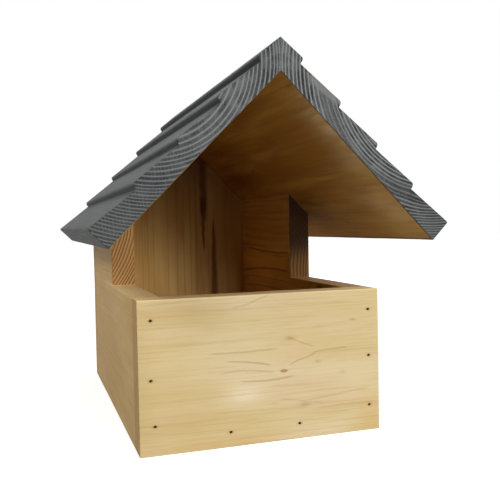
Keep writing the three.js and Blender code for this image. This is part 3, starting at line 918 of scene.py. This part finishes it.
def roof_board(side, sign, material, noses):
    """A roof board: square underneath, mitred at the ridge, five courses with rounded noses outside.

    Its profile's corners are (down the slope, square out from the underside, radius). Noses gives how far
    each nose stands out from the underside, less the nominal thickness."""
    foot = nose_thickness - step_height
    profile = [(tight_joint / math.cos(pitch), 0, mitre_ease), (roof_slope, 0, eave_under_radius),
               (roof_slope, nose_thickness + noses[-1], eave_radius)]
    for i in reversed(range(step_count)):
        nose = top_course + i * course
        profile.append((nose + riser_lean, foot, foot_radius))
        profile.append((nose, nose_thickness + noses[i], nose_radius))
    base_out = nose_thickness - course_rise * top_course
    ridge_along = (tight_joint - base_out * slope_out[0]) / (slope_along[0] + course_rise * slope_out[0])
    ridge_out = nose_thickness - course_rise * (top_course - ridge_along)
    profile.append((ridge_along, ridge_out, mitre_ease))
    corners = []
    for along, out, radius in profile:
        x, z = along * slope_along + out * slope_out
        corners.append((sign * x, ridge_height + z, radius))
    made = board(f"{side}_roof_board", corners, roof_front, roof_high.y, lay_y, roof_ease, steps=7,
                 stations=40, sway=roof_sway)
    carve(made, brad_holes(f"roof_brad_{side}", f"gable_brad_{side}", "ridge_brad"))
    finished(made, material, "stained_roof", f"roof_board_{side}")


roof_board("left", -1, left_stain, [-0.2 * MM, 0, -0.3 * MM, -0.1 * MM, 0])
roof_board("right", 1, right_stain, [0, -0.3 * MM, -0.5 * MM, -0.2 * MM, 0])


# The back panel and its hanger

hanger_middle = (plate_low.z + plate_high.z) / 2
keyhole_low = hanger_middle - keyhole_rise / 2
keyhole_high = hanger_middle + keyhole_rise / 2


def slot_prism(low_radius, high_radius, start, end):
    """A keyhole: a round about the lower middle joined to a narrower round about the upper one.

    The lower round is an arc that stops where it meets the sides, which go straight up to the upper one's
    half circle."""
    meet = math.acos(high_radius / low_radius)
    upper = np.linspace(0, math.pi, 25)
    lower = np.linspace(math.pi - meet, 2 * math.pi + meet, 41)
    points = np.concatenate([
        np.stack([high_radius * np.cos(upper), keyhole_high + high_radius * np.sin(upper)], -1),
        np.stack([low_radius * np.cos(lower), keyhole_low + low_radius * np.sin(lower)], -1)])
    grid = np.broadcast_to(points, (2, *points.shape))
    return skin(grid, np.array([start, end]), lay_y)


def screw_profile(clearance, top):
    """A countersunk screw from its point up to its head, or with a clearance the hole that it lies in."""
    head = screw_head_radius + clearance
    shank = screw_radius + clearance
    return [
        (0, -screw_length - clearance),
        (shank * 0.3, -screw_length + screw_point * 0.25),
        (shank, screw_point - screw_length),
        (shank, -screw_head_height),
        (head * 0.97, -0.3 * MM),
        (head, -0.12 * MM),
        *top,
    ]


screw_places = {side: (sign * screw_spacing / 2, plate_high.y, hanger_middle)
                for side, sign in (("left", -1), ("right", 1))}
sink = [(screw_head_radius + 0.2 * MM, 0.05 * MM), (screw_head_radius + 0.35 * MM, overrun), (0, overrun)]
screw_holes = [lathe(screw_profile(screw_clearance, sink), place, BACK, screw_sides)
               for place in screw_places.values()]

shoulder = under_roof(half_width)
gable = eased([(-half_width, 0), (half_width, 0), (half_width, shoulder), (0, under_roof(0)),
               (-half_width, shoulder)])
rear = board("back_board", gable, back_low.y, back_high.y, lay_y, stations=6)
pocket_radius = keyhole_radius + pocket_margin
pocket = slot_prism(pocket_radius, pocket_radius - pocket_taper, back_high.y - pocket_depth,
                    back_high.y + overrun)
carve(rear, [pocket, *screw_holes, *brad_holes("back_brad", "gable_brad")])
finished(rear, back_pine, "pine_back", "back_panel")

plate = flat_board("hanger_keyhole_plate", (plate_low, plate_high), lay_y, hanger_corner, ease=plate_ease,
                   steps=10, stations=2, sway=0.0)
keyhole = slot_prism(keyhole_radius, keyhole_slot / 2, plate_low.y - overrun, plate_high.y + overrun)
carve(plate, [keyhole, *screw_holes])
finished(plate, hanger_zinc, "hanger_zinc", "hanger_plate")

# Its countersunk screws, with slightly domed heads and cross drives that narrow as they go in

dome = [(screw_head_radius * 0.93, 0), (screw_head_radius * 0.6, 0.14 * MM), (0, 0.2 * MM)]
arm = np.array([(drive_span, -drive_width), (drive_span, drive_width), (drive_width, drive_width)]) / 2
turned_arm = np.stack([-arm[:, 1], arm[:, 0]], -1)
cross = np.concatenate([arm, turned_arm, -arm, -turned_arm])
drive_ends = np.array([-drive_depth, drive_overrun])
for side, place in screw_places.items():
    screw = new_piece(f"hanger_cross_screw_{side}", lathe(screw_profile(0, dome), place, BACK, screw_sides))
    grid = np.stack([cross * drive_narrowing, cross]) + np.array([place[0], place[2]])
    carve(screw, [skin(grid, drive_ends + place[1], lay_y)])
    finished(screw, screw_zinc, "screw_zinc", f"hanger_screw_{side}")


# Brads, their heads flat with a rounded rim and a very slight dish

rim = brad_head_radius
brad_top = [(rim, -0.22 * MM), (rim * 0.93, -0.06 * MM), (rim * 0.78, 0), (rim * 0.3, -0.05 * MM),
            (0, -0.07 * MM)]
for node, (place, out) in brads.items():
    nail = new_piece(f"{node}_nail", lathe(brad_profile(0, brad_top), place, out, brad_sides))
    finished(nail, dark_steel, "brad_steel", node)


# Floor, lights and camera

def plain_floor():
    """A pale floor, white to the camera and in gloss, that keeps a soft shadow."""
    turn = np.arange(floor_sides) * 2 * math.pi / floor_sides
    edge = floor_reach * np.stack([np.cos(turn), np.sin(turn), np.zeros(floor_sides)], -1)
    made = new_mesh("studio_floor", edge, [list(range(floor_sides))])
    f = Finish("studio_floor")
    f.tree.nodes.remove(f.shader)
    seen = f.seen()
    bounce = f.node("ShaderNodeBsdfDiffuse", f.step(seen, 0.0, 1.0, floor_shade, floor_bounce))
    away = f.length(f.object_place())
    glow = f.node("ShaderNodeEmission")
    f.feed(glow.inputs["Strength"], f.mul(seen, f.step(away, 0.3, 1.2, 1.0, floor_glow)))
    both = f.node("ShaderNodeAddShader", bounce.outputs[0], glow.outputs[0])
    f.feed(f.tree.nodes["Material Output"].inputs["Surface"], both.outputs[0])
    made.data.materials.append(f.material)


def studio_world():
    """An even grey light from above and around, white where the camera or gloss sees it."""
    world = bpy.data.worlds.new("studio")
    bpy.context.scene.world = world
    world.use_nodes = True
    n = Nodes(world.node_tree)
    n.tree.nodes.clear()
    light = n.node("ShaderNodeBackground", (1, 1, 1, 1), world_strength)
    white = n.node("ShaderNodeBackground", (1, 1, 1, 1), 1.0)
    choose = n.node("ShaderNodeMixShader", n.seen(), light.outputs[0], white.outputs[0])
    n.node("ShaderNodeOutputWorld", choose.outputs[0])


def soft_lamp(name, azimuth, elevation, distance, size, power):
    """A square lamp aimed at the box's middle, its azimuth measured from the front, positive to the right."""
    turn, lift = math.radians(azimuth), math.radians(elevation)
    way = Vector((math.sin(turn) * math.cos(lift), -math.cos(turn) * math.cos(lift), math.sin(lift)))
    data = bpy.data.lights.new(name, "AREA")
    data.size = size
    data.energy = power
    lamp = linked(name, data)
    lamp.location = lamp_aim + way * distance
    lamp.rotation_euler = (-way).to_track_quat("-Z", "Y").to_euler()


floor_reach = 6.0
floor_sides = 64
floor_bounce = 0.38
floor_shade = 0.8
floor_glow = 0.7
world_strength = 0.03
lamp_aim = Vector((0, 0, 0.12))

plain_floor()
studio_world()

# Lamps: azimuth and elevation in degrees, distance and size in metres, and power in watts

soft_lamp("key_lamp", 12, 18, 2.2, 0.7, 21.5)
soft_lamp("low_lamp", 27, 8, 2.2, 0.7, 15)
soft_lamp("left_lamp", -62, 40, 2.2, 0.7, 20)
soft_lamp("back_lamp", 150, 40, 2.4, 1.4, 20)

# The camera, fitted to the corners seen in the photograph, its focal length in pixels of a 500 pixel frame

frame_pixels = 500
focal_pixels = 675.0
camera_place = Vector((-149.5, -556.63, 145.93)) * MM
camera_yaw, camera_pitch, camera_roll = 0.321, -0.0369, -0.0192

forward = Vector((math.sin(camera_yaw) * math.cos(camera_pitch),
                  math.cos(camera_yaw) * math.cos(camera_pitch), math.sin(camera_pitch)))
level = Vector((math.cos(camera_yaw), -math.sin(camera_yaw), 0))
upright = level.cross(forward)
rightward = level * math.cos(camera_roll) + upright * math.sin(camera_roll)
upward = upright * math.cos(camera_roll) - level * math.sin(camera_roll)
camera_data = bpy.data.cameras.new("photo_camera")
camera_data.sensor_width = 36
camera_data.lens = camera_data.sensor_width * focal_pixels / frame_pixels
camera_data.clip_start = 0.01
camera = linked("photo_camera", camera_data)
turned = Matrix((rightward, upward, -forward)).transposed().to_4x4()
camera.matrix_world = Matrix.Translation(camera_place) @ turned
bpy.context.scene.camera = camera
bpy.context.scene.view_settings.view_transform = "Standard"
